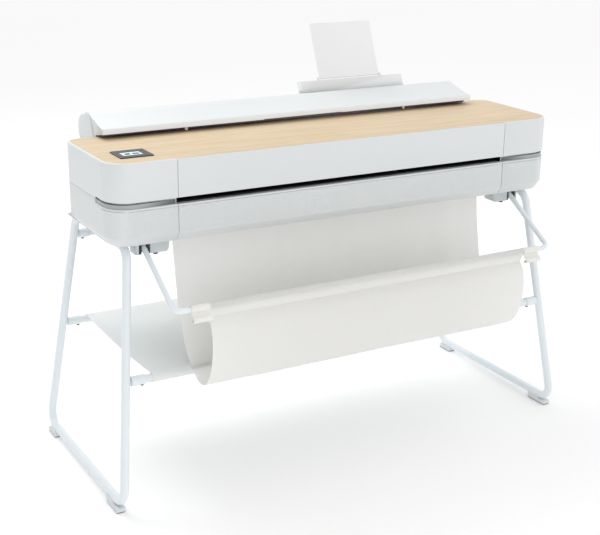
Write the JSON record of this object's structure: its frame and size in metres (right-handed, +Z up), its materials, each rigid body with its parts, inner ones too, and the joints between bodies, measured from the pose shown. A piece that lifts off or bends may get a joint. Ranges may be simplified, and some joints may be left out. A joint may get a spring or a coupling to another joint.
{
  "type": "large format plotter",
  "caption": "Floor-standing roll-fed plotter with wooden top, hinged covers, sheet tray, tube legs, drawing bin and cloth shelf.",
  "frame": {"origin": "on the floor under the middle of the whole object", "axes": "+X to the right along the machine as seen from the front, +Y to the rear, +Z up"},
  "size_m": [1.38, 0.6519, 1.0967],
  "materials": {
    "casing_white": "fine moulded matte",
    "feeder_white": "fine moulded matte",
    "wood": "satin pale maple veneer",
    "tube_white": "powder coat",
    "cloth": "plain weave polyester",
    "grey_plastic": "moulded",
    "black_plastic": "moulded",
    "bezel": "satin",
    "screen_glass": "lit display",
    "steel": "zinc plated",
    "rubber": "matte",
    "pulley": "moulded",
    "ink_plastic": "moulded",
    "board": "solder mask",
    "film": "printed film"
  },
  "bodies": {
    "machine": {"bar_sleeves": "tube_white", "bin_brackets": "grey_plastic", "bin_cloth": "cloth", "bin_sockets": "black_plastic", "carriage_belt": "rubber", "carriage_motor": "steel", "carriage_rail": "steel", "chassis_plate": "steel", "control_bezel": "bezel", "cutter_rail": "steel", "encoder_strip": "film", "feed_belt": "rubber", "feed_motor": "steel", "feet_front": "grey_plastic", "feet_rear": "grey_plastic", "guide_bar": "steel", "idler_bracket": "black_plastic", "ink_cartridges": "ink_plastic", "leg_loop_left": "tube_white", "leg_loop_right": "tube_white", "leg_plates": "steel", "lower_casing": "casing_white", "lower_front_panel": "casing_white", "main_board": "board", "pinch_arms": "black_plastic", "platen": "black_plastic", "port_plate": "black_plastic", "power_inlet": "black_plastic", "power_supply": "steel", "rear_cross_bar": "tube_white", "roll_housing": "casing_white", "roller_bearings": "steel", "service_station": "black_plastic", "shelf_bars": "tube_white", "shelf_cloth": "cloth", "side_plates": "steel", "spindle_supports": "black_plastic", "stand_fasteners": "steel", "touch_screen": "screen_glass", "upper_casing": "casing_white", "wood_top": "wood"},
    "front_cover": {"front_cover": "casing_white"},
    "roll_cover": {"roll_cover": "casing_white", "sheet_tray": "feeder_white"},
    "tray_extension": {"tray_extension": "feeder_white"},
    "bin_rod": {"bin_rod": "tube_white", "bin_clips": "grey_plastic"},
    "carriage": {"carriage": "black_plastic", "print_heads": "black_plastic"},
    "drive_pulley": {"drive_pulley": "pulley"},
    "idler_pulley": {"idler_pulley": "pulley"},
    "feed_roller": {"feed_roller": "rubber", "feed_pulley": "pulley"},
    "motor_pulley": {"motor_pulley": "pulley"},
    "pinch_rollers": {"pinch_rollers": "rubber"},
    "spindle": {"spindle": "steel", "spindle_hub_left": "black_plastic"},
    "sliding_hub": {"spindle_hub_right": "black_plastic"},
    "cutter": {"cutter": "black_plastic"},
    "power_switch": {"power_switch": "black_plastic"}
  },
  "joints": [
    {"name": "front_cover_hinge", "type": "hinge", "parent": "machine", "child": "front_cover", "pos_m": [0, -0.1761, 0.8623], "axis": [-1, 0, 0], "range_deg": [0, 88]},
    {"name": "roll_cover_hinge", "type": "hinge", "parent": "machine", "child": "roll_cover", "pos_m": [0, 0.2629, 0.838], "axis": [-1, 0, 0], "range_deg": [0, 72]},
    {"name": "tray_extension_hinge", "type": "hinge", "parent": "roll_cover", "child": "tray_extension", "pos_m": [0.245, 0.2451, 0.9475], "axis": [1, 0, 0], "range_deg": [0, 115]},
    {"name": "bin_rod_hinge", "type": "hinge", "parent": "machine", "child": "bin_rod", "pos_m": [0, -0.1291, 0.6435], "axis": [-1, 0, 0], "range_deg": [0, 30], "deforming": ["bin_cloth"]},
    {"name": "carriage_slide", "type": "slide", "parent": "machine", "child": "carriage", "axis": [1, 0, 0], "range_m": [-1.1, 0]},
    {"name": "drive_pulley_spin", "type": "hinge", "parent": "machine", "child": "drive_pulley", "pos_m": [0.6, 0.0129, 0.8], "axis": [0, 1, 0], "continuous": true},
    {"name": "idler_pulley_spin", "type": "hinge", "parent": "machine", "child": "idler_pulley", "pos_m": [-0.6, 0.0129, 0.8], "axis": [0, 1, 0], "continuous": true},
    {"name": "feed_roller_spin", "type": "hinge", "parent": "machine", "child": "feed_roller", "pos_m": [0, 0.0209, 0.748], "axis": [1, 0, 0], "continuous": true},
    {"name": "motor_pulley_spin", "type": "hinge", "parent": "machine", "child": "motor_pulley", "pos_m": [0.492, 0.0609, 0.705], "axis": [1, 0, 0], "continuous": true},
    {"name": "pinch_rollers_spin", "type": "hinge", "parent": "machine", "child": "pinch_rollers", "pos_m": [0, 0.0209, 0.7626], "axis": [1, 0, 0], "continuous": true},
    {"name": "spindle_spin", "type": "hinge", "parent": "machine", "child": "spindle", "pos_m": [0, 0.2059, 0.8], "axis": [1, 0, 0], "continuous": true},
    {"name": "hub_slide", "type": "slide", "parent": "spindle", "child": "sliding_hub", "axis": [1, 0, 0], "range_m": [-0.3, 0]},
    {"name": "cutter_slide", "type": "slide", "parent": "machine", "child": "cutter", "axis": [1, 0, 0], "range_m": [0, 1.016]},
    {"name": "power_switch_rock", "type": "hinge", "parent": "machine", "child": "power_switch", "pos_m": [0.596, 0.1425, 0.744], "axis": [1, 0, 0], "range_deg": [0, 12]}
  ],
  "couplings": [
    {"joint": "drive_pulley_spin", "follows": "carriage_slide", "rad_per_m": 114.94},
    {"joint": "idler_pulley_spin", "follows": "carriage_slide", "rad_per_m": 114.94},
    {"joint": "motor_pulley_spin", "follows": "feed_roller_spin", "ratio": 2.3793},
    {"joint": "pinch_rollers_spin", "follows": "feed_roller_spin", "ratio": -1.8}
  ]
}
